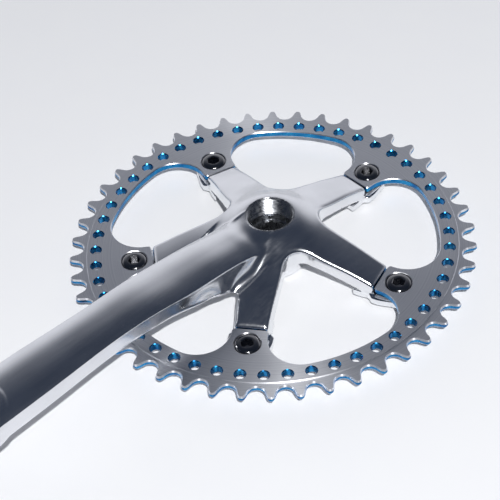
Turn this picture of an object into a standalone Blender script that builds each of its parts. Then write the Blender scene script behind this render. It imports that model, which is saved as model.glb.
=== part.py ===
"""Single-speed bicycle crankset, drive side: a right crank arm forged in one with its five-arm
spider, a drilled 46-tooth chainring for half-inch chain, and five chainring bolts with sleeve nuts.

Metres, +Z up. The axle axis is Z, and +Z points away from the bicycle. The origin is on the axle
axis, in the plane of the boss's inboard face. The crank arm points along -Y."""

from math import atan2, cos, pi, radians, sin, sqrt, tau

import bmesh
import bpy
MM = 0.001
GAP = 0.3 * MM

# Driving dimensions: chain drive
CHAIN_PITCH = 12.7 * MM
ROLLER_RADIUS = 3.97 * MM
TEETH = 46
TOOTH_TURN = radians(-1.6)
TOOTH_HEIGHT = 4.9 * MM
PITCH_RADIUS = CHAIN_PITCH / (2 * sin(pi / TEETH))
ROOT_RADIUS = PITCH_RADIUS - ROLLER_RADIUS

# Driving dimensions: chainring plate
BOLT_COUNT = 5
BOLT_CIRCLE_RADIUS = 65 * MM
FIRST_BOLT_ANGLE = radians(90)
RING_FACE = 9.7 * MM
RING_THICKNESS = 4.0 * MM
TOOTH_STEP = 0.5 * MM
SHOULDER_RADIUS = 87.0 * MM
BAND_INNER_RADIUS = 78.5 * MM
EAR_END = 56.4 * MM
EAR_HALF_WIDTH = 8.4 * MM
EAR_FILLET = 15 * MM
HOLE_COUNT = 50
HOLE_CIRCLE_RADIUS = 82.9 * MM
HOLE_RADIUS = 2.5 * MM

# Driving dimensions: fasteners
HEAD_RADIUS = 5.9 * MM
HEAD_RISE = 0.6 * MM
HEAD_SEAT_DEPTH = 1.8 * MM
SHANK_RADIUS = 3.9 * MM
SOCKET_ACROSS_FLATS = 5.0 * MM
SOCKET_DEPTH = 2.6 * MM
NUT_BARREL_RADIUS = 4.9 * MM
NUT_FLANGE_RADIUS = 6.4 * MM
NUT_FLANGE_THICKNESS = 1.5 * MM
NUT_SEAT_DEPTH = 0.8 * MM
SLOT_WIDTH = 1.6 * MM
SLOT_DEPTH = 0.8 * MM

# Driving dimensions: spider
TAB_THICKNESS = 3.7 * MM
TAB_TOP = RING_FACE - RING_THICKNESS - GAP
TAB_BOTTOM = TAB_TOP - TAB_THICKNESS
SPIDER_ARM_END = EAR_END - 0.6 * MM
SPIDER_ROOT_RADIUS = 23 * MM
SPIDER_ROOT_TOP = 22.0 * MM
SPIDER_END_TOP = RING_FACE + 0.6 * MM
SPIDER_THICKNESS = 6.4 * MM
SPIDER_ROOT_HALF_WIDTH = 9.2 * MM
SPIDER_END_HALF_WIDTH = 7.6 * MM
DRAFT = 0.9 * MM
TAB_START = 46.0 * MM
TAB_HALF_WIDTH = 9.0 * MM
NUB_START = 54.6 * MM
NUB_LENGTH = 3.8 * MM
NUB_HALF_WIDTH = 12.0 * MM
WEB_NEAR = 6 * MM
WEB_FAR = 40 * MM
WEB_HALF_WIDTH = 6 * MM
WEB_BOTTOM = 9.6 * MM
WEB_TOP = 16.5 * MM

# Driving dimensions: boss and its bore
BOSS_HEIGHT = 27.0 * MM
BOSS_RADIUS = 16.5 * MM
BOSS_FLAT_RADIUS = 14.0 * MM
BOSS_EDGE = 1.0 * MM
BARREL_HEIGHT = 11.0 * MM
COLLAR_BOTTOM = 14.5 * MM
THREAD_RADIUS = 11.0 * MM
THREAD_DEPTH = 10.0 * MM
RELIEF_RADIUS = 9.2 * MM
RELIEF_DEPTH = 12.0 * MM
SQUARE_INBOARD = 13.0 * MM
SQUARE_OUTBOARD = 12.0 * MM

# Driving dimensions: crank arm
CRANK_LENGTH = 170 * MM
ARM_ANGLE = radians(-90)
ARM_STATIONS = ((0, 12.0), (40, 12.8), (60, 13.1), (100, 12.3), (140, 13.8), (158, 14.4))
ARM_EDGE_LOW = 25.7 * MM
ARM_EDGE_RISE = 8.2 * MM
ARM_BACK_LOW = 15.0 * MM
ARM_BACK_RISE = 9.0 * MM
ARM_CROWN = 2.3 * MM
ARM_CHAMFER = 1.5 * MM
EYE_RADIUS = 14.8 * MM
EYE_TOP = 36.4 * MM
EYE_BOTTOM = 22.6 * MM
PEDAL_HOLE_RADIUS = 7.1 * MM


def clear_scene():
    for thing in list(bpy.data.objects):
        bpy.data.objects.remove(thing, do_unlink=True)


def make_material(name, colour, roughness, metallic=1.0):
    material = bpy.data.materials.new(name)
    material.use_nodes = True
    shader = material.node_tree.nodes["Principled BSDF"]
    shader.inputs["Base Color"].default_value = (*colour, 1)
    shader.inputs["Roughness"].default_value = roughness
    shader.inputs["Metallic"].default_value = metallic
    return material


def mesh_object(name, points, faces, material=None):
    mesh = bpy.data.meshes.new(name)
    mesh.from_pydata([tuple(point) for point in points], [], faces)
    work = bmesh.new()
    work.from_mesh(mesh)
    bmesh.ops.recalc_face_normals(work, faces=work.faces)
    work.to_mesh(mesh)
    work.free()
    thing = bpy.data.objects.new(name, mesh)
    bpy.context.collection.objects.link(thing)
    if material:
        mesh.materials.append(material)
    return thing


def smooth(thing, angle=30):
    thing.data.shade_smooth()
    thing.data.set_sharp_from_angle(angle=radians(angle))
    return thing


def loft(name, sections, material=None):
    """Skins closed sections of equal point counts, and caps both ends."""
    count = len(sections[0])
    points = [point for section in sections for point in section]
    faces = [tuple(reversed(range(count)))]
    for row in range(len(sections) - 1):
        for i in range(count):
            near, far = row * count, (row + 1) * count
            j = (i + 1) % count
            faces.append((near + i, near + j, far + j, far + i))
    faces.append(tuple(range(len(points) - count, len(points))))
    return mesh_object(name, points, faces, material)


def prism(name, outline, bottom, top, material=None):
    """A straight-walled solid over a flat outline of (x, y) points."""
    levels = [[(x, y, z) for x, y in outline] for z in (bottom, top)]
    return loft(name, levels, material)


def turned(name, profile, segments, material=None):
    """A solid of revolution about Z from a (radius, z) profile listed from bottom to top."""
    rings = [
        [(r * cos(tau * i / segments), r * sin(tau * i / segments), z) for i in range(segments)]
        for r, z in profile
    ]
    return loft(name, rings, material)


def circle(radius, segments, centre=(0, 0)):
    steps = [tau * i / segments for i in range(segments)]
    return [(centre[0] + radius * cos(a), centre[1] + radius * sin(a)) for a in steps]


def arc(centre, radius, start, end, segments):
    steps = [start + (end - start) * i / segments for i in range(segments + 1)]
    return [(centre[0] + radius * cos(a), centre[1] + radius * sin(a)) for a in steps]


def rotated(points, angle):
    c, s = cos(angle), sin(angle)
    return [(x * c - y * s, x * s + y * c) for x, y in points]


def place(thing, location=(0, 0, 0), angle=0.0):
    """Moves an object and turns it about its own Z."""
    thing.location = location
    thing.rotation_euler = (0, 0, angle)
    return thing


def make_assembly(things):
    """An empty on the axle axis that carries the whole crankset."""
    holder = bpy.data.objects.new("crankset", None)
    bpy.context.collection.objects.link(holder)
    for thing in things:
        thing.parent = holder


def boolean(target, operation, other):
    """Adds an exact Boolean and hides the other solid, which is only a tool."""
    modifier = target.modifiers.new(f"{operation.lower()} {other.name}", "BOOLEAN")
    modifier.operation = operation
    modifier.solver = "EXACT"
    modifier.object = other
    other.hide_render = True
    other.display_type = "WIRE"


def bolt_angles():
    return [FIRST_BOLT_ANGLE + tau * i / BOLT_COUNT for i in range(BOLT_COUNT)]


def bolt_centre(angle):
    return (BOLT_CIRCLE_RADIUS * cos(angle), BOLT_CIRCLE_RADIUS * sin(angle))


def smooth_step(value):
    value = min(1.0, max(0.0, value))
    return value * value * (3 - 2 * value)


# Chainring


def tooth_outline():
    """Teeth with round valleys and blunt tips, as (share of a pitch, share of the tooth's height)."""
    profile = ((-0.5, 0.0), (-0.36, 0.17), (-0.22, 0.62), (-0.075, 1.0))
    profile += tuple((-share, height) for share, height in reversed(profile[1:]))
    outline = []
    for tooth in range(TEETH):
        for share, height in profile:
            angle = TOOTH_TURN + FIRST_BOLT_ANGLE + tau * (tooth + share) / TEETH
            radius = ROOT_RADIUS + TOOTH_HEIGHT * height
            outline.append((radius * cos(angle), radius * sin(angle)))
    return outline


def ring_inner_outline():
    """Inner edge of the ring: an ear reaches in to each bolt, and fillets join it to the band."""
    centre_reach = BAND_INNER_RADIUS - EAR_FILLET
    centre_side = EAR_HALF_WIDTH + EAR_FILLET
    centre_along = sqrt(centre_reach**2 - centre_side**2)
    meet = atan2(centre_side, centre_along)
    side = arc((centre_along, centre_side), EAR_FILLET, -pi / 2, meet, 6)
    corner = 1.2 * MM
    half = [(EAR_END, EAR_HALF_WIDTH - corner), (EAR_END + corner, EAR_HALF_WIDTH)] + side
    ear = [(x, -y) for x, y in reversed(half)] + half
    outline = []
    for angle in bolt_angles():
        outline += rotated(ear, angle)
        window = tau / BOLT_COUNT - 2 * meet
        outline += arc((0, 0), BAND_INNER_RADIUS, angle + meet, angle + meet + window, 5)[1:-1]
    return outline


def make_chainring(material):
    body_top = RING_FACE
    body_bottom = RING_FACE - RING_THICKNESS
    ring = prism("chainring", tooth_outline(), body_bottom + TOOTH_STEP, body_top - TOOTH_STEP, material)
    shoulder = prism("shoulder_blank", circle(SHOULDER_RADIUS, 96), body_bottom, body_top)
    opening = prism("ring_opening", ring_inner_outline(), body_bottom - 2 * MM, body_top + 2 * MM)
    boolean(ring, "UNION", shoulder)
    boolean(ring, "DIFFERENCE", opening)
    drill_depths = (body_bottom - 1.5 * MM, body_top + 1.5 * MM)
    for i in range(HOLE_COUNT):
        angle = FIRST_BOLT_ANGLE + tau * i / HOLE_COUNT
        centre = (HOLE_CIRCLE_RADIUS * cos(angle), HOLE_CIRCLE_RADIUS * sin(angle))
        boolean(ring, "DIFFERENCE", prism(f"drill_{i + 1}", circle(HOLE_RADIUS, 10, centre), *drill_depths))
    for i, angle in enumerate(bolt_angles()):
        profile = (
            (NUT_BARREL_RADIUS + GAP, body_bottom - 1 * MM),
            (NUT_BARREL_RADIUS + GAP, body_top - HEAD_SEAT_DEPTH),
            (HEAD_RADIUS + GAP, body_top - HEAD_SEAT_DEPTH),
            (HEAD_RADIUS + GAP, body_top + 1 * MM),
        )
        seat = turned(f"ring_seat_{i + 1}", profile, 24)
        boolean(ring, "DIFFERENCE", place(seat, (*bolt_centre(angle), 0)))
    return smooth(ring)


# Crank arm and spider


def spider_top(radius):
    """Height of the spider's outboard surface: from the boss down to the ring."""
    share = (radius - SPIDER_ROOT_RADIUS) / (SPIDER_ARM_END - SPIDER_ROOT_RADIUS)
    return SPIDER_ROOT_TOP + (SPIDER_END_TOP - SPIDER_ROOT_TOP) * share


def spider_arm_section(radius, top, bottom, half_width):
    """Seen along the arm: flat top, sides that widen downwards by the forging draft."""
    wide = half_width + DRAFT
    return [
        (radius, -half_width, top),
        (radius, half_width, top),
        (radius, wide, bottom),
        (radius, -wide, bottom),
    ]


def make_spider_arm(index, angle):
    stations = (4 * MM, SPIDER_ROOT_RADIUS, 0.5 * (SPIDER_ROOT_RADIUS + SPIDER_ARM_END), SPIDER_ARM_END)
    sections = []
    for radius in stations:
        top = min(spider_top(radius), SPIDER_ROOT_TOP + 2 * MM)
        bottom = max(top - SPIDER_THICKNESS, TAB_BOTTOM + 1 * MM)
        share = smooth_step((radius - SPIDER_ROOT_RADIUS) / (SPIDER_ARM_END - SPIDER_ROOT_RADIUS))
        half = SPIDER_ROOT_HALF_WIDTH + (SPIDER_END_HALF_WIDTH - SPIDER_ROOT_HALF_WIDTH) * share
        sections.append(spider_arm_section(radius, top, bottom, half))
    return place(loft(f"spider_arm_{index}", sections), angle=angle)


def tab_outline():
    """Flat tab under the ring's ear, with the two forging nubs where it leaves the arm."""
    nub_end = NUB_START + NUB_LENGTH
    bevel = 1.3 * MM
    half = [
        (TAB_START, TAB_HALF_WIDTH),
        (NUB_START, TAB_HALF_WIDTH),
        (NUB_START + bevel, NUB_HALF_WIDTH),
        (nub_end, NUB_HALF_WIDTH),
        (nub_end + bevel, NUB_HALF_WIDTH - bevel),
    ]
    half += arc((BOLT_CIRCLE_RADIUS, 0), TAB_HALF_WIDTH, radians(80), 0, 6)
    return half + [(x, -y) for x, y in reversed(half[:-1])]


def make_tab(index, angle):
    return place(prism(f"tab_{index}", tab_outline(), TAB_BOTTOM, TAB_TOP), angle=angle)


def arm_half_width(distance):
    """Half the crank arm's width, eased between its stations."""
    for (near, narrow), (far, wide) in zip(ARM_STATIONS, ARM_STATIONS[1:]):
        if distance <= far * MM:
            share = smooth_step((distance / MM - near) / (far - near))
            return (narrow + (wide - narrow) * share) * MM
    return ARM_STATIONS[-1][1] * MM


def arm_section(distance):
    """Crank arm cut square to its length: crowned outboard side, upright walls, chamfered back."""
    half = arm_half_width(distance)
    edge = ARM_EDGE_LOW + ARM_EDGE_RISE * smooth_step((distance - 20 * MM) / (85 * MM))
    back = ARM_BACK_LOW + ARM_BACK_RISE * smooth_step((distance - 20 * MM) / (65 * MM))
    crown = ARM_CROWN * (0.5 + 0.5 * smooth_step(distance / (60 * MM)))
    top = [(side * half, edge + crown * (1 - side**2)) for side in (-1, -0.7, -0.3, 0.3, 0.7, 1)]
    underside = [
        (half, back + ARM_CHAMFER),
        (half - ARM_CHAMFER, back),
        (ARM_CHAMFER - half, back),
        (-half, back + ARM_CHAMFER),
    ]
    return [(distance, side, height) for side, height in top + underside]


def make_arm_bar():
    distances = (3, 20, 30, 40, 50, 60, 70, 80, 90, 105, 120, 140, 158, 166)
    sections = [arm_section(distance * MM) for distance in distances]
    return place(loft("arm_bar", sections), angle=ARM_ANGLE)


def make_web(index, angle):
    """Web that fills the corner between the crank arm and a neighbouring spider arm."""
    hollow = WEB_HALF_WIDTH / 2
    corner = [
        (WEB_NEAR, 0),
        (WEB_FAR, -WEB_HALF_WIDTH),
        (WEB_FAR - hollow, 0),
        (WEB_FAR, WEB_HALF_WIDTH),
    ]
    return place(prism(f"web_{index}", corner, WEB_BOTTOM, WEB_TOP), angle=angle)


def make_boss(material):
    profile = (
        (BOSS_RADIUS - BOSS_EDGE, 0),
        (BOSS_RADIUS, BOSS_EDGE),
        (BOSS_RADIUS + BOSS_EDGE / 2, BARREL_HEIGHT),
        (SPIDER_ROOT_RADIUS - BOSS_EDGE / 2, COLLAR_BOTTOM),
        (SPIDER_ROOT_RADIUS - 1.5 * BOSS_EDGE, SPIDER_ROOT_TOP + 0.7 * MM),
        (BOSS_RADIUS, BOSS_HEIGHT - BOSS_EDGE),
        (BOSS_FLAT_RADIUS, BOSS_HEIGHT),
    )
    return turned("crank_arm", profile, 48, material)


def make_spindle_bore():
    """Extractor thread, relief and the square taper for the spindle, cut right through the boss."""
    square_top = BOSS_HEIGHT - RELIEF_DEPTH
    thread_bottom = BOSS_HEIGHT - THREAD_DEPTH
    sections = []
    for side, height in ((SQUARE_INBOARD, -1 * MM), (SQUARE_OUTBOARD, square_top + 1 * MM)):
        half = side / 2
        corners = ((-half, -half), (half, -half), (half, half), (-half, half))
        sections.append([(x, y, height) for x, y in corners])
    square = loft("square_taper", sections)
    round_profile = (
        (RELIEF_RADIUS, square_top),
        (RELIEF_RADIUS, thread_bottom),
        (THREAD_RADIUS, thread_bottom),
        (THREAD_RADIUS, BOSS_HEIGHT - 0.6 * MM),
        (THREAD_RADIUS + 0.6 * MM, BOSS_HEIGHT),
        (THREAD_RADIUS + 0.6 * MM, BOSS_HEIGHT + 4 * MM),
    )
    return square, turned("extractor_bore", round_profile, 32)


def make_tab_seat(index, angle):
    profile = (
        (NUT_FLANGE_RADIUS + GAP, TAB_BOTTOM - 1 * MM),
        (NUT_FLANGE_RADIUS + GAP, TAB_BOTTOM + NUT_SEAT_DEPTH),
        (NUT_BARREL_RADIUS + GAP, TAB_BOTTOM + NUT_SEAT_DEPTH),
        (NUT_BARREL_RADIUS + GAP, TAB_TOP + 1 * MM),
    )
    return place(turned(f"tab_seat_{index}", profile, 24), (*bolt_centre(angle), 0))


def make_crank_arm(material):
    crank = make_boss(material)
    boolean(crank, "UNION", make_arm_bar())
    eye_centre = (CRANK_LENGTH * cos(ARM_ANGLE), CRANK_LENGTH * sin(ARM_ANGLE), 0)
    eye = turned("pedal_eye", ((EYE_RADIUS, EYE_BOTTOM), (EYE_RADIUS, EYE_TOP)), 40)
    boolean(crank, "UNION", place(eye, eye_centre))
    for i, angle in enumerate(bolt_angles()):
        boolean(crank, "UNION", make_spider_arm(i + 1, angle))
        boolean(crank, "UNION", make_tab(i + 1, angle))
    for i, side in enumerate((-1, 1)):
        boolean(crank, "UNION", make_web(i + 1, ARM_ANGLE + side * pi / BOLT_COUNT / 2))
    for cutter in make_spindle_bore():
        boolean(crank, "DIFFERENCE", cutter)
    pedal_hole = turned("pedal_hole", ((PEDAL_HOLE_RADIUS, 10 * MM), (PEDAL_HOLE_RADIUS, 50 * MM)), 32)
    boolean(crank, "DIFFERENCE", place(pedal_hole, eye_centre))
    for i, angle in enumerate(bolt_angles()):
        boolean(crank, "DIFFERENCE", make_tab_seat(i + 1, angle))
    return smooth(crank)


# Fasteners


def make_bolt(index, angle, material):
    """Low-headed chainring bolt, head outboard, with a hexagon socket."""
    seat = RING_FACE - HEAD_SEAT_DEPTH + GAP
    tip = TAB_BOTTOM + NUT_SEAT_DEPTH + 0.6 * MM
    profile = (
        (SHANK_RADIUS - 0.5 * MM, tip),
        (SHANK_RADIUS, tip + 0.5 * MM),
        (SHANK_RADIUS, seat),
        (HEAD_RADIUS, seat),
        (HEAD_RADIUS, RING_FACE - 0.3 * MM),
        (HEAD_RADIUS - 1.0 * MM, RING_FACE + HEAD_RISE - 0.2 * MM),
        (HEAD_RADIUS - 2.2 * MM, RING_FACE + HEAD_RISE),
    )
    bolt = turned(f"chainring_bolt_{index}", profile, 24, material)
    corner = SOCKET_ACROSS_FLATS / sqrt(3)
    socket_floor = RING_FACE + HEAD_RISE - SOCKET_DEPTH
    socket = prism(f"hex_socket_{index}", circle(corner, 6), socket_floor, RING_FACE + 3 * MM)
    boolean(bolt, "DIFFERENCE", place(socket, (*bolt_centre(angle), 0)))
    return smooth(place(bolt, (*bolt_centre(angle), 0)))


def make_nut(index, angle, material):
    """Sleeve nut from the inboard side: a flange with a driving slot, and a barrel round the bolt."""
    flange_top = TAB_BOTTOM + NUT_SEAT_DEPTH - GAP
    flange_bottom = flange_top - NUT_FLANGE_THICKNESS
    barrel_top = RING_FACE - HEAD_SEAT_DEPTH - 0.5 * MM
    profile = (
        (NUT_FLANGE_RADIUS - 0.4 * MM, flange_bottom),
        (NUT_FLANGE_RADIUS, flange_bottom + 0.4 * MM),
        (NUT_FLANGE_RADIUS, flange_top),
        (NUT_BARREL_RADIUS, flange_top),
        (NUT_BARREL_RADIUS, barrel_top),
    )
    nut = turned(f"chainring_nut_{index}", profile, 24, material)
    bore_radius = SHANK_RADIUS + GAP
    bore = turned(f"nut_bore_{index}", ((bore_radius, 0), (bore_radius, barrel_top + 1 * MM)), 24)
    boolean(nut, "DIFFERENCE", place(bore, (*bolt_centre(angle), 0)))
    long, wide = 2 * NUT_FLANGE_RADIUS, SLOT_WIDTH / 2
    slot_outline = [(-long, -wide), (long, -wide), (long, wide), (-long, wide)]
    slot = prism(f"driving_slot_{index}", slot_outline, 0, flange_bottom + SLOT_DEPTH)
    boolean(nut, "DIFFERENCE", place(slot, (*bolt_centre(angle), 0), angle))
    return smooth(place(nut, (*bolt_centre(angle), 0)))


def main():
    clear_scene()
    forged = make_material("forged_aluminium", (0.52, 0.54, 0.58), 0.28)
    ring_alloy = make_material("ring_aluminium", (0.50, 0.51, 0.55), 0.32)
    dark_steel = make_material("bolt_steel", (0.30, 0.30, 0.32), 0.15)
    nut_steel = make_material("nut_steel", (0.42, 0.42, 0.44), 0.22)
    pieces = [make_crank_arm(forged), make_chainring(ring_alloy)]
    for i, angle in enumerate(bolt_angles()):
        pieces.append(make_bolt(i + 1, angle, dark_steel))
        pieces.append(make_nut(i + 1, angle, nut_steel))
    make_assembly(pieces)


main()
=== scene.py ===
"""The crankset's visual model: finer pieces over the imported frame, their materials, and the studio."""

from math import cos, pi, radians, sin, sqrt, tau

import bmesh
import bpy
import numpy as np
from mathutils import Matrix, Vector
from mathutils.geometry import delaunay_2d_cdt


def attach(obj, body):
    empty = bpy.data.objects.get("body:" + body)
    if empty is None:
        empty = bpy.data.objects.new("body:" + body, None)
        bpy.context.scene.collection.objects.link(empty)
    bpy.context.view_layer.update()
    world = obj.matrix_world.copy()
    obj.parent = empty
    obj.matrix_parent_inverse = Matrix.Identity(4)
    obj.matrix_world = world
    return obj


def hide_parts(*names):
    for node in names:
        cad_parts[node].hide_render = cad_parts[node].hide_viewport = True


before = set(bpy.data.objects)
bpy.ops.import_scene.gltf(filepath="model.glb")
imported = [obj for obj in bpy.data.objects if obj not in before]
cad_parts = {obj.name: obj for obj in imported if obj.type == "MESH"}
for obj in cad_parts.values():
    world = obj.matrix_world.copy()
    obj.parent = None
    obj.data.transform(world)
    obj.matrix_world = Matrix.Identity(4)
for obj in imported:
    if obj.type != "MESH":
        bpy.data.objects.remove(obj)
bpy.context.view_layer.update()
MM = 0.001
WELD_DISTANCE = 2e-6

# The row frame: Z is the axle axis, and the crank arm points along -Y. Lengths from here to the
# studio are in millimetres.
TEETH = 46
BOLTS = 5
SECTOR = tau / BOLTS
FIRST_BOLT = radians(90)
BOLT_CIRCLE = 65.0
BOLT_ANGLES = [FIRST_BOLT + SECTOR * i for i in range(BOLTS)]

# Spider. Stations are (distance, value) pairs, and halves are measured from a centre line.
ARM_END = 55.8
ARM_END_HALF = 7.6
WINDOW_CORNER = 23.0
WINDOW_FILLET = 9.0
DRAFT = 0.14
RIDGE = 18.5
HOLLOW_MIDDLE = 17.3
HOLLOW_DEPTH = 1.2
WEB_BOTTOM = 11.5
SPIDER_TOP = ((8, 27.1), (12, 26.9), (23, 22.3), (30, 19.5), (45, 14.5), (56, 10.3), (76, 3))
SPIDER_BACK = ((0, 9), (16, 10.5), (23, 14.4), (30, 13.1), (45, 8.2), (56, 3.9), (76, 0))
TAB_TOP = 5.4
TAB_BOTTOM = 1.7
TAB_HALF = ((50, 8.6), (54.4, 8.7), (56.0, 10.2), (57.6, 10.3), (66, 8.8))
TAB_START = 46.0
TAB_END = 8.9

# Boss, its square taper and relief, the extractor's thread, and the nuts' seats
BARREL_RADIUS = 16.5
BARREL_TOP = 16.0
TAPER_HALF = 6.5
TAPER_SLOPE = 1 / 32
TAPER_TOP = 16.0
RELIEF_RADIUS = 9.2
RELIEF_BOTTOM = 15.0
EXTRACTOR_RADIUS = 11.0
BORE_MOUTH = 11.6
NUT_HOLE = 5.2
NUT_SEAT = 6.7
NUT_SEAT_TOP = 2.5

# Crank arm
CRANK_LENGTH = 170.0
ARM_HALF = ((0, 12.0), (40, 12.7), (60, 13.1), (100, 12.3), (140, 13.8), (175, 14.6))
ARM_EDGE = (
    (0, 18.2), (14, 21.7), (20, 24.0), (26, 25.4), (40, 27.8), (60, 30.1),
    (80, 32.5), (100, 33.4), (125, 33.8), (175, 33.9),
)
ARM_BACK = (
    (0, 9.0), (20, 10.5), (36, 13.0), (43, 16.4),
    (50, 20.2), (60, 21.8), (85, 23.7), (175, 24.0),
)
ARM_FLANGE = 3.4
ARM_CROWN = ((0, 6.0), (14, 4.5), (20, 3.5), (26, 2.9), (40, 2.5), (175, 2.5))
EYE_RADIUS = 14.6
PEDAL_SEAT_RADIUS = 11.2
EYE_TOP = 36.4
EYE_BOTTOM = 22.6
PEDAL_HOLE = 7.15
PEDAL_MOUTH = 7.6

# Chainring
RING_FACE = 9.7
RING_BACK = 5.7
TOOTH_STEP = 0.5
CHAIN_PITCH = 12.7
PITCH_RADIUS = CHAIN_PITCH / (2 * sin(pi / TEETH))
ROLLER = 4.05
SHOULDER = 87.0
BAND_INNER = 78.5
HOLE_CIRCLE = 82.9
HOLE_RADIUS = 2.5
HOLES = 50
WINDOW_EDGE = 0.35
WINDOW_BACK_EDGE = 1.2
HOLE_EDGE = 0.35
SHOULDER_EDGE = 0.35
TOOTH_EDGE = 0.45
TOOTH_EDGE_HEIGHT = 0.9
BOLT_SEAT_RADIUS = 6.25
BOLT_SEAT_EDGE = 0.25
BOLT_SEAT_DEPTH = 1.8
NUT_BARREL_HOLE = 5.2
HOLE_SIDES = 28
SEAT_SIDES = 48
RING_SIDES = 184

# Studio. Lengths are in metres and angles in degrees. A room stop is (place, share of wall light),
# and places run from the bright wall, 0, to the dark room, 1.
WALL_LIGHT = (0.83, 0.84, 0.89)
ROOM_LIGHT = (0.028, 0.038, 0.062)
DARK_AZIMUTH = 45
DARK_HEIGHT = 45
ROOM_STOPS = (
    (0.2, 1.0), (0.3, 0.92), (0.37, 0.74), (0.415, 0.53),
    (0.457, 0.3), (0.49, 0.15), (0.54, 0.05), (0.65, 0.01),
)
KEY_AZIMUTH = 55
KEY_HEIGHT = 51.5
KEY_DISTANCE = 2.1
KEY_POWER = 43.0
KEY_SIZE = 0.05
FILL_STRENGTH = 0.3
FILL_SPREAD = 120
TABLE_HALF = 6.0
TABLE_GAP = 0.0002

# Camera: place in metres, its right and up directions, lens and sensor in millimetres
CAMERA_PLACE = (0.40124, -0.35405, 0.53144)
CAMERA_ACROSS = (0.69156, 0.71957, -0.06311)
CAMERA_UP = (-0.47561, 0.51937, 0.70996)
CAMERA_LENS = 114.74
CAMERA_SENSOR = 36


# Numbers and meshes


def smooth(value):
    value = np.clip(value, 0, 1)
    return value * value * (3 - 2 * value)


def curve(stations, place):
    """A smooth curve through (place, value) stations, level beyond its ends."""
    at, value = np.array(stations, float).T
    slope = np.gradient(value, at)
    place = np.clip(place, at[0], at[-1])
    i = np.clip(np.searchsorted(at, place) - 1, 0, len(at) - 2)
    run = at[i + 1] - at[i]
    t = (place - at[i]) / run
    rise = (3 - 2 * t) * t * t
    bend = t * (1 - t) * run * ((1 - t) * slope[i] - t * slope[i + 1])
    return value[i] + (value[i + 1] - value[i]) * rise + bend


def join(a, b, fillet):
    """Union of two fields with a fillet about as wide as given."""
    mix = np.maximum(fillet - np.abs(a - b), 0) / fillet
    return np.minimum(a, b) - mix * mix * fillet / 4


def meet(a, b, rounding):
    """Where two fields overlap, with the edge between them rounded."""
    return -join(-a, -b, rounding)


def shade(mesh, sharp):
    """Smooth shading, with edges kept sharp above that angle in degrees."""
    mesh.shade_smooth()
    mesh.set_sharp_from_angle(angle=radians(sharp))


def weld(mesh, sharp):
    """Joins faces that meet, turns them outwards and shades them."""
    work = bmesh.new()
    work.from_mesh(mesh)
    bmesh.ops.remove_doubles(work, verts=work.verts, dist=WELD_DISTANCE)
    bmesh.ops.recalc_face_normals(work, faces=work.faces)
    work.to_mesh(mesh)
    work.free()
    shade(mesh, sharp)


def add_object(name, mesh):
    thing = bpy.data.objects.new(name, mesh)
    bpy.context.collection.objects.link(thing)
    return thing


def finish_mesh(name, points, faces, sharp=32):
    """A welded and shaded object from points in millimetres."""
    mesh = bpy.data.meshes.new(name)
    mesh.from_pydata((np.asarray(points, float) * MM).tolist(), [], faces)
    weld(mesh, sharp)
    return add_object(name, mesh)


def gradient(field, points):
    """Slope of the field at each point."""
    tiny = 0.02
    slopes = []
    for shift in np.eye(3) * tiny:
        slopes.append(field(*(points + shift).T) - field(*(points - shift).T))
    return np.stack(slopes, 1) / (2 * tiny)


def contour(name, field, low, high, step):
    """Meshes the surface where field(x, y, z) is zero, keeping its sharp edges (dual contouring)."""
    axes = [np.arange(a, b + step, step) for a, b in zip(low, high)]
    value = field(*np.meshgrid(*axes, indexing="ij", sparse=True))
    inside = value < 0
    low = np.array(low, float)
    cells = np.array(value.shape) - 1
    places, quads = [], []
    for axis in range(3):
        near = [slice(None)] * 3
        far = [slice(None)] * 3
        near[axis], far[axis] = slice(None, -1), slice(1, None)
        corner = np.argwhere(inside[tuple(near)] != inside[tuple(far)])
        second, third = (axis + 1) % 3, (axis + 2) % 3
        corner = corner[(corner[:, second] > 0) & (corner[:, third] > 0)]
        corner = corner[(corner[:, second] < cells[second]) & (corner[:, third] < cells[third])]
        ahead = corner.copy()
        ahead[:, axis] += 1
        start, end = value[tuple(corner.T)], value[tuple(ahead.T)]
        place = low + corner * step
        place[:, axis] += step * start / (start - end)
        around = []
        for back_second, back_third in ((1, 1), (0, 1), (0, 0), (1, 0)):
            cell = corner.copy()
            cell[:, second] -= back_second
            cell[:, third] -= back_third
            around.append(np.ravel_multi_index(tuple(cell.T), cells))
        around = np.stack(around, 1)
        around[start > 0] = around[start > 0][:, ::-1]
        places.append(place)
        quads.append(around)
    place, quads = np.concatenate(places), np.concatenate(quads)
    normal = gradient(field, place)
    normal /= np.linalg.norm(normal, axis=1, keepdims=True) + 1e-9
    used, owner = np.unique(quads, return_inverse=True)
    owner = owner.reshape(quads.shape)
    count = len(used)
    weight = np.zeros(count)
    middle = np.zeros((count, 3))
    push = np.zeros((count, 3))
    pull = np.zeros((count, 3, 3))
    along = (normal * place).sum(1, keepdims=True)
    for side in range(4):
        np.add.at(weight, owner[:, side], 1)
        np.add.at(middle, owner[:, side], place)
        np.add.at(push, owner[:, side], normal * along)
        np.add.at(pull, owner[:, side], normal[:, :, None] * normal[:, None, :])
    middle /= weight[:, None]
    # A weak pull towards the mean of a cell's crossings fixes its point where the surface is flat.
    hold = 0.02
    pull += hold * np.eye(3)
    points = np.linalg.solve(pull, (push + hold * middle)[..., None])[..., 0]
    corner = low + np.stack(np.unravel_index(used, cells), 1) * step
    points = np.clip(points, corner, corner + step)
    for _ in range(3):
        points = settle(field, points, owner)
    return finish_mesh(name, points, owner.tolist())


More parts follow.
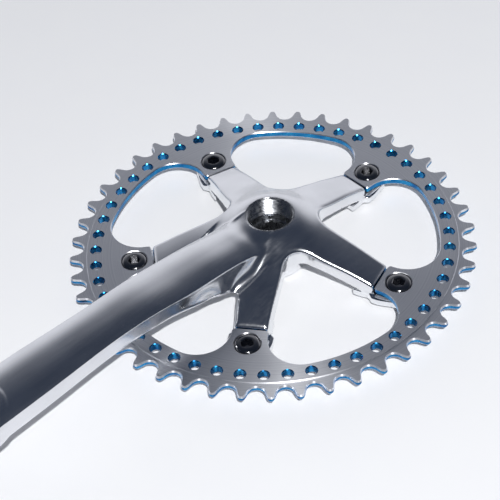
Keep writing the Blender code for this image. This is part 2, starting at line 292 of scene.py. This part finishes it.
def settle(field, points, quads):
    """Evens out the mesh along the surface, then puts each point back on it."""
    total, count = np.zeros_like(points), np.zeros(len(points))
    for side in range(4):
        here, ahead = quads[:, side], quads[:, (side + 1) % 4]
        np.add.at(total, here, points[ahead])
        np.add.at(total, ahead, points[here])
        np.add.at(count, here, 1)
        np.add.at(count, ahead, 1)
    slope = gradient(field, points)
    unit = slope / (np.linalg.norm(slope, axis=1, keepdims=True) + 1e-9)
    drift = 0.5 * (total / count[:, None] - points)
    points = points + drift - (drift * unit).sum(1, keepdims=True) * unit
    slope = gradient(field, points)
    steep = np.maximum((slope**2).sum(1), 0.3)
    gap = np.clip(field(*points.T) / steep, -0.2, 0.2)
    return points - gap[:, None] * slope


def turned(name, profile, segments, sharp=32):
    """A solid of revolution about Z from a (radius, z) profile listed from bottom to top."""
    angle = np.arange(segments) * tau / segments
    points = [(r * cos(a), r * sin(a), z) for r, z in profile for a in angle]
    faces = [tuple(reversed(range(segments)))]
    for row in range(len(profile) - 1):
        for i in range(segments):
            j = (i + 1) % segments
            a, b = row * segments, (row + 1) * segments
            faces.append((a + i, a + j, b + j, b + i))
    faces.append(tuple(range(len(points) - segments, len(points))))
    return finish_mesh(name, points, faces, sharp)


def threaded(name, radius, pitch, depth, bottom, top, flare, segments=72):
    """A closed screw surface about Z, used to cut a thread; its mouth opens out by flare at the top."""
    step = pitch / 8
    levels = np.arange(bottom, top + step, step)
    points = []
    for z in levels:
        for i in range(segments):
            turn = (z / pitch - i / segments) % 1
            r = radius - depth * abs(2 * turn - 1) + max(0, flare - (top - z))
            points.append((r * cos(tau * i / segments), r * sin(tau * i / segments), z))
    faces = [tuple(reversed(range(segments)))]
    for row in range(len(levels) - 1):
        for i in range(segments):
            j = (i + 1) % segments
            a, b = row * segments, (row + 1) * segments
            faces.append((a + i, a + j, b + j, b + i))
    faces.append(tuple(range(len(points) - segments, len(points))))
    return finish_mesh(name, points, faces)


def cut(thing, cutter):
    """Takes the cutter away from the piece and deletes it."""
    modifier = thing.modifiers.new("cut", "BOOLEAN")
    modifier.operation = "DIFFERENCE"
    modifier.solver = "EXACT"
    modifier.object = cutter
    graph = bpy.context.evaluated_depsgraph_get()
    mesh = bpy.data.meshes.new_from_object(thing.evaluated_get(graph))
    thing.modifiers.clear()
    thing.data = mesh
    bpy.data.objects.remove(cutter, do_unlink=True)


def place(thing, x=0.0, y=0.0, z=0.0, angle=0.0):
    turn = Matrix.Translation(Vector((x, y, z)) * MM) @ Matrix.Rotation(angle, 4, "Z")
    thing.data.transform(turn)
    return thing


# The forged crank arm, as one field: negative inside the metal


def spider_fold(x, y):
    """Along and across the nearest spider arm."""
    turn = np.arctan2(y, x) - FIRST_BOLT
    folded = np.abs((turn + SECTOR / 2) % SECTOR - SECTOR / 2)
    reach = np.hypot(x, y)
    return reach * np.cos(folded), reach * np.sin(folded)


def spider_outline(along, across):
    """Plan distance to the five arms, with a fillet between neighbours; negative inside."""
    centre_reach = WINDOW_CORNER + WINDOW_FILLET
    centre_along = centre_reach * cos(SECTOR / 2)
    centre_across = centre_reach * sin(SECTOR / 2)
    root_half = centre_across - WINDOW_FILLET
    taper = (along - centre_along) / (ARM_END - centre_along)
    half = root_half + (ARM_END_HALF - root_half) * smooth(0.85 * taper + 0.1)
    corner = WINDOW_FILLET - np.hypot(along - centre_along, across - centre_across)
    return np.where(along > centre_along, across - half, corner)


def web_outline(x, y):
    """Plan distance to the web between the crank arm and a neighbouring spider arm, with a round end."""
    side = np.abs(x)
    fillet = 4.0
    lean = SECTOR / 2
    arm_half = 8.8
    wall = 13.7
    centre_x = wall + fillet
    centre_y = -(arm_half + fillet + centre_x * cos(lean)) / sin(lean)
    reach = side * sin(lean / 2) - y * cos(lean / 2)
    across = side * cos(lean / 2) + y * sin(lean / 2)
    limit = centre_x * sin(lean / 2) - centre_y * cos(lean / 2)
    round_end = fillet - np.hypot(side - centre_x, y - centre_y)
    sides = np.maximum(np.abs(across) - 7, 10 - side)
    return np.maximum(np.maximum(reach - limit, round_end), sides)


def spider_top(x, y):
    """The spider's outboard surface, with a hollow on each side of the crank arm that ends in a ridge."""
    cone = curve(SPIDER_TOP, np.hypot(x, y))
    side, distance = np.abs(x), -y
    floor = curve(SPIDER_TOP, np.hypot(RIDGE, y)) - HOLLOW_DEPTH
    rise = 0.26 - 0.21 * smooth((distance - 27) / 16)
    towards_arm = rise * np.clip(HOLLOW_MIDDLE - side, 0, 5) ** 2
    towards_ridge = 0.6 * np.maximum(side - HOLLOW_MIDDLE, 0) ** 2
    hollow = cone + smooth((distance - 14) / 15) * (floor + towards_arm + towards_ridge - cone)
    return np.where(side < HOLLOW_MIDDLE, hollow, np.minimum(cone, hollow))


def crank_bar(x, y, z):
    """Crank arm and pedal eye: crowned top rolling into upright walls, and a rounded back."""
    side, distance = np.abs(x), -y
    half = curve(ARM_HALF, distance)
    share = np.clip(side / half, 0, 1.15)
    edge = curve(ARM_EDGE, distance)
    top = edge + curve(ARM_CROWN, distance) * (1 - share**2.6)
    under = curve(ARM_BACK, distance)
    depth = np.clip((edge - z) / (edge - under), 0, 1)
    flange = ARM_FLANGE * smooth((distance - 34) / 12) * (1 - smooth((distance - 48) / 30))
    wall = side - half - flange * depth**1.8
    bar = meet(wall, z - top, 0.8)
    bar = meet(bar, (wall + under + 1.2 - z) / sqrt(2), 0.8)
    bar = np.maximum(np.maximum(bar, under - z), np.maximum(distance - CRANK_LENGTH, 3 - distance))
    rim = np.hypot(x, y + CRANK_LENGTH) - EYE_RADIUS
    eye = np.maximum(meet(rim, z - top, 1.2), (rim + EYE_BOTTOM + 1.2 - z) / sqrt(2))
    eye = np.maximum(eye, EYE_BOTTOM - z)
    seat = meet(rim + EYE_RADIUS - PEDAL_SEAT_RADIUS, z - EYE_TOP, 0.6)
    return join(join(bar, eye, 1.0), np.maximum(seat, EYE_BOTTOM + 1 - z), 0.8)


def crank_field(x, y, z):
    reach = np.hypot(x, y)
    along, across = spider_fold(x, y)
    top = spider_top(x, y)
    back = curve(SPIDER_BACK, reach)

    spread = np.clip(top - z, 0, 12) * DRAFT
    walls = meet(spider_outline(along, across) - spread, along - ARM_END - 0.1 * spread, 1.2)
    arms = np.maximum(meet(walls, z - top, 1.9), back - z)
    below = np.maximum(np.maximum(WEB_BOTTOM, back), curve(ARM_BACK, -y) + 1)
    web = np.maximum(meet(web_outline(x, y), z - top, 2.0), below - z)
    body = join(arms, web, 1.5)

    # Tabs under the chainring's ears
    ends = np.maximum(TAB_START - along, along - BOLT_CIRCLE)
    sides = np.maximum(across - curve(TAB_HALF, along), ends)
    flat = np.minimum(sides, np.hypot(along - BOLT_CIRCLE, across) - TAB_END)
    tabs = meet(flat, np.maximum(z - TAB_TOP, TAB_BOTTOM - z), 0.6)
    body = join(body, tabs, 0.8)

    # Boss barrel, behind the spider
    barrel = np.maximum(reach - BARREL_RADIUS - 0.05 * z, z - BARREL_TOP)
    barrel = np.maximum(np.maximum(barrel, -z), reach - BARREL_RADIUS + 1 - z)
    body = join(body, barrel, 2.5)
    body = join(body, crank_bar(x, y, z), 3.0)

    # Bores: the spindle's square taper, its relief, and the nuts' seats
    taper = np.maximum(np.abs(x), np.abs(y)) - TAPER_HALF + np.clip(z, 0, TAPER_TOP) * TAPER_SLOPE
    far_outside = 99
    relief = reach - RELIEF_RADIUS + far_outside * (z < RELIEF_BOTTOM)
    hole = np.minimum(np.maximum(taper, z - TAPER_TOP), relief)
    nut = np.hypot(along - BOLT_CIRCLE, across)
    seat = np.minimum(nut - NUT_HOLE, np.maximum(nut - NUT_SEAT, z - NUT_SEAT_TOP))
    return np.maximum(np.maximum(body, -hole), -seat)


def make_crank_arm():
    step = 0.5
    low = (-76.25, -186.25, -1.25)
    high = (76.25, 76.25, 38.25)
    crank = contour("crank_arm_forging", crank_field, low, high, step)
    extractor = threaded(
        "extractor thread", EXTRACTOR_RADIUS, pitch=1.0, depth=0.55, bottom=17.0, top=28.5, flare=2.0,
    )
    cut(crank, extractor)
    pedal = threaded(
        "pedal thread", PEDAL_HOLE, pitch=1.27, depth=0.6, bottom=20.0, top=37.6, flare=1.6, segments=48,
    )
    cut(crank, place(pedal, y=-CRANK_LENGTH))
    shade(crank.data, 60)
    return crank


# Chainring


def tooth_outline(inset=0.0):
    """Each valley is an arc that seats a chain roller, and between valleys stands a blunt pointed tooth."""
    turn = np.radians(np.linspace(-68, 68, 9))
    valley_up, valley_along = -ROLLER * np.cos(turn), ROLLER * np.sin(turn)
    flank_up, flank_along = np.array([0.6, 1.8, 2.3, 2.4]), np.array([4.45, 5.05, 5.65, CHAIN_PITCH / 2])
    up = np.concatenate([flank_up[2::-1], valley_up, flank_up])
    along = np.concatenate([-flank_along[2::-1], valley_along, flank_along])
    valley = np.arange(TEETH)[:, None] + 0.5
    angle = (radians(-1.6) + FIRST_BOLT + tau * (valley + along / CHAIN_PITCH) / TEETH).ravel()
    radius = np.tile(PITCH_RADIUS + up, TEETH)
    return offset(np.stack([radius * np.cos(angle), radius * np.sin(angle)], 1), -inset)


def offset(loop, amount):
    """Moves a counter-clockwise loop outwards by an amount, or inwards if it is negative."""
    ahead = np.roll(loop, -1, 0) - np.roll(loop, 1, 0)
    ahead /= np.linalg.norm(ahead, axis=1, keepdims=True)
    return loop + amount * np.stack([ahead[:, 1], -ahead[:, 0]], 1)


def arc(centre, radius, start, end, steps):
    angle = np.linspace(start, end, steps + 1)
    return np.stack([centre[0] + radius * np.cos(angle), centre[1] + radius * np.sin(angle)], 1)


def ring_window(outset=0.0):
    """Inner edge of the ring: an ear reaches in to each bolt, and fillets join it to the band."""
    ear_end, ear_half, fillet, corner = 56.4, 8.3, 15.0, 1.6
    centre_side = ear_half + fillet
    centre_along = sqrt((BAND_INNER - fillet) ** 2 - centre_side**2)
    ear_turn = np.arctan2(centre_side, centre_along)
    nose = arc((ear_end + corner, ear_half - corner), corner, pi, pi / 2, 5)
    side = arc((centre_along, centre_side), fillet, -pi / 2, ear_turn, 16)
    half = np.concatenate([nose, side])
    ear = np.concatenate([half[::-1] * (1, -1), half])
    loop = []
    for angle in BOLT_ANGLES:
        c, s = cos(angle), sin(angle)
        loop.append(ear @ np.array([[c, s], [-s, c]]))
        between = arc((0, 0), BAND_INNER, angle + ear_turn, angle + SECTOR - ear_turn, 14)
        loop.append(between[1:-1])
    return offset(np.concatenate(loop), outset)


def circle(radius, steps, centre=(0, 0)):
    return arc(centre, radius, 0, tau, steps)[:-1]


def sheet(loops, z):
    """Triangles that fill the first loop around the others, at height z."""
    points = [Vector(point) for loop in loops for point in loop]
    edges = []
    for loop in loops:
        start = len(edges)
        edges += [(start + i, start + (i + 1) % len(loop)) for i in range(len(loop))]
    found, _, faces, *_ = delaunay_2d_cdt(points, edges, [], 1, 1e-6)
    spots = np.array(found)
    middles = spots[np.array(faces)].mean(1)
    crossings = sum(edges_right_of(middles, loop) for loop in loops)
    kept = [face for face, count in zip(faces, crossings) if count % 2]
    return [[(*spots[i], z) for i in face] for face in kept]


def edges_right_of(spots, loop):
    """For each spot, how many of the loop's edges a line to its right crosses."""
    x, y = spots[:, :1], spots[:, 1:]
    ahead = np.roll(loop, -1, 0)
    spans = (loop[:, 1] > y) != (ahead[:, 1] > y)
    rise = ahead[:, 1] - loop[:, 1]
    rise = np.where(rise == 0, 1, rise)
    crossing = loop[:, 0] + (y - loop[:, 1]) * (ahead[:, 0] - loop[:, 0]) / rise
    return (spans & (crossing > x)).sum(1)


def band(lower, bottom, upper, top):
    """Quads between two loops of the same number of points."""
    a = [(x, y, bottom) for x, y in lower]
    b = [(x, y, top) for x, y in upper]
    return [[a[i - 1], a[i], b[i], b[i - 1]] for i in range(len(a))]


def wall(loop_at, chamfer, bottom, top):
    """An upright wall with a chamfer at each face. loop_at(chamfer) gives the loop in the face."""
    body, face = loop_at(0.0), loop_at(chamfer)
    rows = [(face, bottom), (body, bottom + chamfer), (body, top - chamfer), (face, top)]
    polygons = []
    for (lower, z0), (upper, z1) in zip(rows, rows[1:]):
        polygons += band(lower, z0, upper, z1)
    return polygons


def bolt_seat(centre):
    """Counterbore for a bolt's head, and the hole below it for the nut's barrel."""
    floor = RING_FACE - BOLT_SEAT_DEPTH
    rim = RING_FACE - BOLT_SEAT_EDGE
    seat = circle(BOLT_SEAT_RADIUS, SEAT_SIDES, centre)
    mouth = circle(BOLT_SEAT_RADIUS + BOLT_SEAT_EDGE, SEAT_SIDES, centre)
    barrel = circle(NUT_BARREL_HOLE, SEAT_SIDES, centre)
    polygons = band(seat, rim, mouth, RING_FACE)
    polygons += band(seat, floor, seat, rim)
    polygons += band(barrel, floor, seat, floor)
    polygons += band(barrel, RING_BACK, barrel, floor)
    return polygons


def ring_face(centres, bolt_centres, face, step, outboard):
    """One flat face: the drilled band, the shoulder that steps down from it, and the teeth."""
    holes = [circle(HOLE_RADIUS + HOLE_EDGE, HOLE_SIDES, centre) for centre in centres]
    seat_radius = BOLT_SEAT_RADIUS + BOLT_SEAT_EDGE if outboard else NUT_BARREL_HOLE
    seats = [circle(seat_radius, SEAT_SIDES, centre) for centre in bolt_centres]
    window = ring_window(WINDOW_EDGE if outboard else WINDOW_BACK_EDGE)
    shoulder = circle(SHOULDER, RING_SIDES)
    foot = circle(SHOULDER + SHOULDER_EDGE, RING_SIDES)
    polygons = sheet([shoulder, window, *holes, *seats], face)
    polygons += band(foot, face + step, shoulder, face)
    polygons += sheet([tooth_outline(TOOTH_EDGE), foot], face + step)
    return polygons


def make_chainring():
    """The ring's polygons, and how many of them, from the first, are bare metal; the rest are blue."""
    hole_angles = [FIRST_BOLT + tau * i / HOLES for i in range(HOLES)]
    hole_centres = [(HOLE_CIRCLE * cos(a), HOLE_CIRCLE * sin(a)) for a in hole_angles]
    bolt_centres = [(BOLT_CIRCLE * cos(a), BOLT_CIRCLE * sin(a)) for a in BOLT_ANGLES]
    bright, blue = [], []
    bright += ring_face(hole_centres, bolt_centres, RING_FACE, -TOOTH_STEP, True)
    bright += ring_face(hole_centres, bolt_centres, RING_BACK, TOOTH_STEP, False)

    # Teeth
    low, high = RING_BACK + TOOTH_STEP, RING_FACE - TOOTH_STEP
    teeth, teeth_in_face = tooth_outline(), tooth_outline(TOOTH_EDGE)
    blue += band(teeth_in_face, low, teeth, low + TOOTH_EDGE_HEIGHT)
    bright += band(teeth, high - TOOTH_EDGE_HEIGHT, teeth_in_face, high)
    blue += band(teeth, low + TOOTH_EDGE_HEIGHT, teeth, high - TOOTH_EDGE_HEIGHT)

    # Windows
    window = ring_window()
    window_back = ring_window(WINDOW_BACK_EDGE)
    bright += band(window_back, RING_BACK, window, RING_BACK + WINDOW_BACK_EDGE)
    bright += band(window, RING_FACE - WINDOW_EDGE, ring_window(WINDOW_EDGE), RING_FACE)
    blue += band(window, RING_BACK + WINDOW_BACK_EDGE, window, RING_FACE - WINDOW_EDGE)

    for centre in hole_centres:
        blue += wall(
            lambda extra: circle(HOLE_RADIUS + extra, HOLE_SIDES, centre), HOLE_EDGE, RING_BACK, RING_FACE,
        )
    for centre in bolt_centres:
        bright += bolt_seat(centre)
    return bright + blue, len(bright)


def build_chainring(face_material, wall_material):
    polygons, bright = make_chainring()
    points = [point for polygon in polygons for point in polygon]
    faces, start = [], 0
    for polygon in polygons:
        faces.append(tuple(range(start, start + len(polygon))))
        start += len(polygon)
    mesh = bpy.data.meshes.new("drilled_chainring")
    mesh.from_pydata((np.array(points) * MM).tolist(), [], faces)
    mesh.materials.append(face_material)
    mesh.materials.append(wall_material)
    slots = np.zeros(len(faces), np.int32)
    slots[bright:] = 1
    mesh.polygons.foreach_set("material_index", slots)
    weld(mesh, 24)
    return add_object("drilled_chainring", mesh)


# Fasteners


def rounded(points, radius, steps=5):
    """A profile whose inner corners are rounded by short arcs of about the radius."""
    points = [np.array(point, float) for point in points]
    result = [points[0]]
    for before, corner, after in zip(points, points[1:], points[2:]):
        reach = min(radius, np.linalg.norm(corner - before) / 2, np.linalg.norm(after - corner) / 2)
        start = corner + (before - corner) / np.linalg.norm(before - corner) * reach
        end = corner + (after - corner) / np.linalg.norm(after - corner) * reach
        for t in np.linspace(0, 1, steps):
            result.append((1 - t) ** 2 * start + 2 * t * (1 - t) * corner + t**2 * end)
    return result + [points[-1]]


def hexagon(name, across_flats, bottom, top, mouth):
    """A hexagonal prism whose top opens out, used to cut a socket."""
    corner = across_flats / sqrt(3)
    rows = [(corner, bottom), (corner, top - mouth), (corner + 2 * mouth, top + mouth)]
    return turned(name, rows, 6, 20)


def make_bolt(index, angle):
    seat = RING_FACE - 1.5
    tip = 3.1
    shape = [
        (0.02, tip),
        (3.4, tip),
        (3.9, tip + 0.5),
        (3.9, seat),
        (5.9, seat),
        (5.9, RING_FACE - 0.35),
        (5.0, RING_FACE + 0.42),
        (3.6, RING_FACE + 0.62),
        (3.1, RING_FACE + 0.62),
        (0.02, RING_FACE + 0.55),
    ]
    bolt = turned(f"ring_bolt_{index}", rounded(shape, 0.5), 64)
    cut(bolt, hexagon("hexagon socket", 5.0, RING_FACE - 2.0, RING_FACE + 0.55, 0.3))
    shade(bolt.data, 28)
    each_turned_differently = 0.35 * index
    turn = angle + each_turned_differently
    return place(bolt, BOLT_CIRCLE * cos(angle), BOLT_CIRCLE * sin(angle), angle=turn)


def make_nut(index, angle):
    flange = TAB_BOTTOM + 0.5
    shape = [
        (0.02, flange - 1.5),
        (5.9, flange - 1.5),
        (6.4, flange - 1.0),
        (6.4, flange),
        (4.9, flange),
        (4.9, RING_FACE - 2.3),
        (0.02, RING_FACE - 2.3),
    ]
    nut = turned(f"sleeve_nut_{index}", rounded(shape, 0.35), 64)
    cut(nut, threaded("nut thread", 4.3, 0.75, 0.2, -1.0, 9.0, 0.0, 40))
    slot = bpy.data.meshes.new("slot")
    outline = ((-8, -0.8), (8, -0.8), (8, 0.8), (-8, 0.8))
    corners = [(x, y, z) for z in (-2, flange - 0.7) for x, y in outline]
    sides = [(3, 2, 1, 0), (4, 5, 6, 7), (0, 1, 5, 4), (1, 2, 6, 5), (2, 3, 7, 6), (3, 0, 4, 7)]
    slot.from_pydata([(x * MM, y * MM, z * MM) for x, y, z in corners], [], sides)
    cut(nut, add_object("driver slot", slot))
    shade(nut.data, 28)
    return place(nut, BOLT_CIRCLE * cos(angle), BOLT_CIRCLE * sin(angle), angle=angle)


# Materials


def new_material(name, colour, roughness, metallic=1.0):
    material = bpy.data.materials.new(name)
    material.use_nodes = True
    shader = material.node_tree.nodes["Principled BSDF"]
    shader.inputs["Base Color"].default_value = (*colour, 1)
    shader.inputs["Roughness"].default_value = roughness
    shader.inputs["Metallic"].default_value = metallic
    return material, material.node_tree, shader


def add(tree, kind, **values):
    node = tree.nodes.new(kind)
    for key, value in values.items():
        if hasattr(node, key):
            setattr(node, key, value)
        else:
            node.inputs[key.replace("_", " ")].default_value = value
    return node


def noise(tree, source, scale, stretch=(1, 1, 1), detail=3.0):
    """Noise in object space, stretched along an axis by a small factor on it."""
    mapping = add(tree, "ShaderNodeMapping")
    mapping.inputs["Scale"].default_value = stretch
    tree.links.new(source, mapping.inputs["Vector"])
    node = add(tree, "ShaderNodeTexNoise", Scale=scale, Detail=detail)
    tree.links.new(mapping.outputs["Vector"], node.inputs["Vector"])
    return node.outputs["Fac"]


def remap(tree, source, low, high, to_low, to_high):
    node = add(tree, "ShaderNodeMapRange")
    for name, value in (("From Min", low), ("From Max", high), ("To Min", to_low), ("To Max", to_high)):
        node.inputs[name].default_value = value
    tree.links.new(source, node.inputs["Value"])
    return node.outputs["Result"]


def mixed(tree, factor, first, second):
    node = add(tree, "ShaderNodeMix", data_type="RGBA")
    node.inputs[6].default_value = (*first, 1)
    node.inputs[7].default_value = (*second, 1)
    tree.links.new(factor, node.inputs[0])
    return node.outputs[2]


def bump(tree, shader, height, distance, strength=1.0):
    node = add(tree, "ShaderNodeBump")
    node.inputs["Distance"].default_value = distance * MM
    node.inputs["Strength"].default_value = strength
    tree.links.new(height, node.inputs["Height"])
    tree.links.new(node.outputs["Normal"], shader.inputs["Normal"])


def forged_material(name, colour, low, high, grain):
    """Anodised forging: faint cloudy tone, roughness that wanders, and a very fine grain along the arm."""
    material, tree, shader = new_material(name, colour, low)
    spot = add(tree, "ShaderNodeTexCoord").outputs["Object"]
    cloud = noise(tree, spot, 60.0)
    tone = remap(tree, cloud, 0.35, 0.65, 0, 1)
    darker = tuple(0.93 * part for part in colour)
    tree.links.new(mixed(tree, tone, darker, colour), shader.inputs["Base Color"])
    streak = noise(tree, spot, 900.0, (1, 0.06, 1))
    tree.links.new(remap(tree, streak, 0.3, 0.7, low, high), shader.inputs["Roughness"])
    bump(tree, shader, streak, grain)
    return material


def turned_face_material():
    """Lathe-turned ring face: fine concentric lines, a few of them deeper, and light handling marks."""
    colour = (0.60, 0.61, 0.65)
    material, tree, shader = new_material("turned ring face", colour, 0.26)
    spot = add(tree, "ShaderNodeTexCoord").outputs["Object"]
    split = add(tree, "ShaderNodeSeparateXYZ")
    tree.links.new(spot, split.inputs["Vector"])
    flat = add(tree, "ShaderNodeCombineXYZ")
    tree.links.new(split.outputs["X"], flat.inputs["X"])
    tree.links.new(split.outputs["Y"], flat.inputs["Y"])
    length = add(tree, "ShaderNodeVectorMath", operation="LENGTH")
    tree.links.new(flat.outputs["Vector"], length.inputs[0])
    line = add(tree, "ShaderNodeTexNoise", noise_dimensions="1D", Scale=1600.0, Detail=4.0)
    tree.links.new(length.outputs["Value"], line.inputs["W"])
    cloud = noise(tree, spot, 35.0)
    tone = remap(tree, line.outputs["Fac"], 0.3, 0.7, 0, 1)
    tree.links.new(mixed(tree, tone, (0.80, 0.81, 0.85), (0.92, 0.93, 0.96)), shader.inputs["Base Color"])
    tree.links.new(remap(tree, cloud, 0.3, 0.7, 0.3, 0.38), shader.inputs["Roughness"])
    shader.inputs["Anisotropic"].default_value = 0.8
    shader.inputs["Anisotropic Rotation"].default_value = 0.25
    tangent = add(tree, "ShaderNodeTangent", direction_type="RADIAL", axis="Z")
    tree.links.new(tangent.outputs["Tangent"], shader.inputs["Tangent"])
    bump(tree, shader, line.outputs["Fac"], 0.012)
    return material


def blue_material():
    """Blue anodising left on the cut walls, a little uneven."""
    material, tree, shader = new_material("blue anodised wall", (0.015, 0.17, 0.4), 0.22)
    spot = add(tree, "ShaderNodeTexCoord").outputs["Object"]
    cloud = noise(tree, spot, 300.0)
    tone = remap(tree, cloud, 0.3, 0.7, 0, 1)
    tree.links.new(mixed(tree, tone, (0.01, 0.11, 0.31), (0.03, 0.27, 0.54)), shader.inputs["Base Color"])
    tree.links.new(remap(tree, cloud, 0.3, 0.7, 0.16, 0.3), shader.inputs["Roughness"])
    return material


def steel_material(name, colour, roughness):
    """Plain metal, a little uneven in tone and roughness."""
    material, tree, shader = new_material(name, colour, roughness)
    spot = add(tree, "ShaderNodeTexCoord").outputs["Object"]
    cloud = noise(tree, spot, 500.0)
    low, high = roughness * 0.7, roughness * 1.5
    tree.links.new(remap(tree, cloud, 0.3, 0.7, low, high), shader.inputs["Roughness"])
    darker = tuple(0.85 * part for part in colour)
    tree.links.new(mixed(tree, cloud, darker, colour), shader.inputs["Base Color"])
    return material


def paint_crank(crank, satin, polished, machined_shaded_bore):
    """Paints the forging by where each face lies and which way it faces.

    Satin covers the outboard surfaces and both walls of the arm, machined metal with a dark colour
    as painted shade the two bores, and mirror polish the other walls and the back.
    """
    mesh = crank.data
    mesh.materials.clear()
    mesh.materials.append(satin)
    mesh.materials.append(polished)
    mesh.materials.append(machined_shaded_bore)
    count = len(mesh.polygons)
    centre = np.empty(count * 3)
    normal = np.empty(count * 3)
    mesh.polygons.foreach_get("center", centre)
    mesh.polygons.foreach_get("normal", normal)
    x, y, z = centre.reshape(-1, 3).T / MM
    tilt = normal.reshape(-1, 3)[:, 2]
    top = spider_top(x, y)
    in_bore = (np.hypot(x, y) < BORE_MOUTH) | (np.hypot(x, y + CRANK_LENGTH) < PEDAL_MOUTH)
    bar = (np.abs(x) < curve(ARM_HALF, -y) + 0.3) & (y < -8) & (z > 24)
    beside_bar = (np.abs(x) < 20) & (y < -42)
    outboard = ((tilt > 0.2) & ((z > top - 0.9) | bar)) | beside_bar
    slot = np.where(in_bore, 2, np.where(outboard, 0, 1))
    mesh.polygons.foreach_set("material_index", slot.astype(np.int32))
    mesh.update()


# Studio


def make_floor():
    mesh = bpy.data.meshes.new("table_top")
    half = TABLE_HALF
    corners = [(-half, -half, 0), (half, -half, 0), (half, half, 0), (-half, half, 0)]
    mesh.from_pydata(corners, [], [(0, 1, 2, 3)])
    floor = add_object("table_top", mesh)
    floor.location.z = -TABLE_GAP
    material, tree, shader = new_material("white table", (0.88, 0.885, 0.9), 0.6, 0.0)
    spot = add(tree, "ShaderNodeTexCoord").outputs["Object"]
    grain = noise(tree, spot, 40.0)
    tone = mixed(tree, grain, (0.87, 0.875, 0.895), (0.89, 0.895, 0.905))
    tree.links.new(tone, shader.inputs["Base Color"])
    mesh.materials.append(material)


def make_world():
    """A bright wall low down behind the object, fading to a dark room above and in front of it."""
    world = bpy.data.worlds.new("studio")
    world.use_nodes = True
    bpy.context.scene.world = world
    tree = world.node_tree
    spot = add(tree, "ShaderNodeTexCoord").outputs["Generated"]
    towards = add(tree, "ShaderNodeVectorMath", operation="DOT_PRODUCT")
    tree.links.new(spot, towards.inputs[0])
    towards.inputs[1].default_value = direction(DARK_AZIMUTH, DARK_HEIGHT)
    ramp = add(tree, "ShaderNodeValToRGB")
    elements = ramp.color_ramp.elements
    elements[0].color = (*WALL_LIGHT, 1)
    elements[1].color = (*ROOM_LIGHT, 1)
    for place, share in ROOM_STOPS:
        colour = [low + (high - low) * share for low, high in zip(ROOM_LIGHT, WALL_LIGHT)]
        elements.new(place).color = (*colour, 1)
    tree.links.new(remap(tree, towards.outputs["Value"], -1, 1, 0, 1), ramp.inputs["Fac"])
    tree.links.new(ramp.outputs["Color"], tree.nodes["Background"].inputs["Color"])


def direction(azimuth, elevation):
    """Unit vector towards a place in the room, in degrees: azimuth from -Y towards +X, and height."""
    a, e = radians(azimuth), radians(elevation)
    return Vector((sin(a) * cos(e), -cos(a) * cos(e), sin(e)))


def make_key():
    """A small bright lamp, near enough that the table falls off in brightness away from it."""
    data = bpy.data.lights.new("key", "AREA")
    data.shape = "DISK"
    data.size = KEY_SIZE
    data.energy = KEY_POWER
    lamp = bpy.data.objects.new("key", data)
    towards = direction(KEY_AZIMUTH, KEY_HEIGHT)
    lamp.location = towards * KEY_DISTANCE
    lamp.rotation_euler = towards.to_track_quat("Z", "Y").to_euler()
    bpy.context.collection.objects.link(lamp)


def make_fill():
    """Soft light from overhead that shows in no reflection."""
    data = bpy.data.lights.new("fill", "SUN")
    data.energy = FILL_STRENGTH
    data.angle = radians(FILL_SPREAD)
    lamp = bpy.data.objects.new("fill", data)
    lamp.visible_glossy = False
    bpy.context.collection.objects.link(lamp)


def make_camera():
    data = bpy.data.cameras.new("camera")
    data.lens = CAMERA_LENS
    data.sensor_width = CAMERA_SENSOR
    camera = bpy.data.objects.new("camera", data)
    across = Vector(CAMERA_ACROSS).normalized()
    up = Vector(CAMERA_UP)
    back = across.cross(up).normalized()
    up = back.cross(across)
    turn = Matrix((across, up, back)).transposed().to_4x4()
    camera.matrix_world = Matrix.Translation(CAMERA_PLACE) @ turn
    bpy.context.collection.objects.link(camera)
    bpy.context.scene.camera = camera


def main():
    satin = forged_material("satin forging", (0.80, 0.81, 0.84), 0.16, 0.22, 0.0006)
    polished = forged_material("polished forging", (0.86, 0.87, 0.89), 0.05, 0.10, 0.0004)
    # The bores are machined metal whose base colour is darkened as painted shade inside the holes.
    machined_shaded_bore = steel_material("machined bore with painted shade", (0.40, 0.41, 0.43), 0.26)
    ring_face = turned_face_material()
    blue = blue_material()
    bolt_steel = steel_material("dark chrome", (0.27, 0.27, 0.28), 0.1)
    nut_steel = steel_material("nut chrome", (0.55, 0.55, 0.57), 0.2)

    crank = make_crank_arm()
    paint_crank(crank, satin, polished, machined_shaded_bore)
    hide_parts("crank_arm")
    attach(crank, "root")

    ring = build_chainring(ring_face, blue)
    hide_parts("chainring")
    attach(ring, "root")

    for i, angle in enumerate(BOLT_ANGLES):
        bolt = make_bolt(i + 1, angle)
        bolt.data.materials.append(bolt_steel)
        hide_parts(f"chainring_bolt_{i + 1}")
        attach(bolt, "root")
        nut = make_nut(i + 1, angle)
        nut.data.materials.append(nut_steel)
        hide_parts(f"chainring_nut_{i + 1}")
        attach(nut, "root")

    make_floor()
    make_world()
    make_key()
    make_fill()
    make_camera()
    bpy.context.scene.view_settings.view_transform = "Standard"


main()
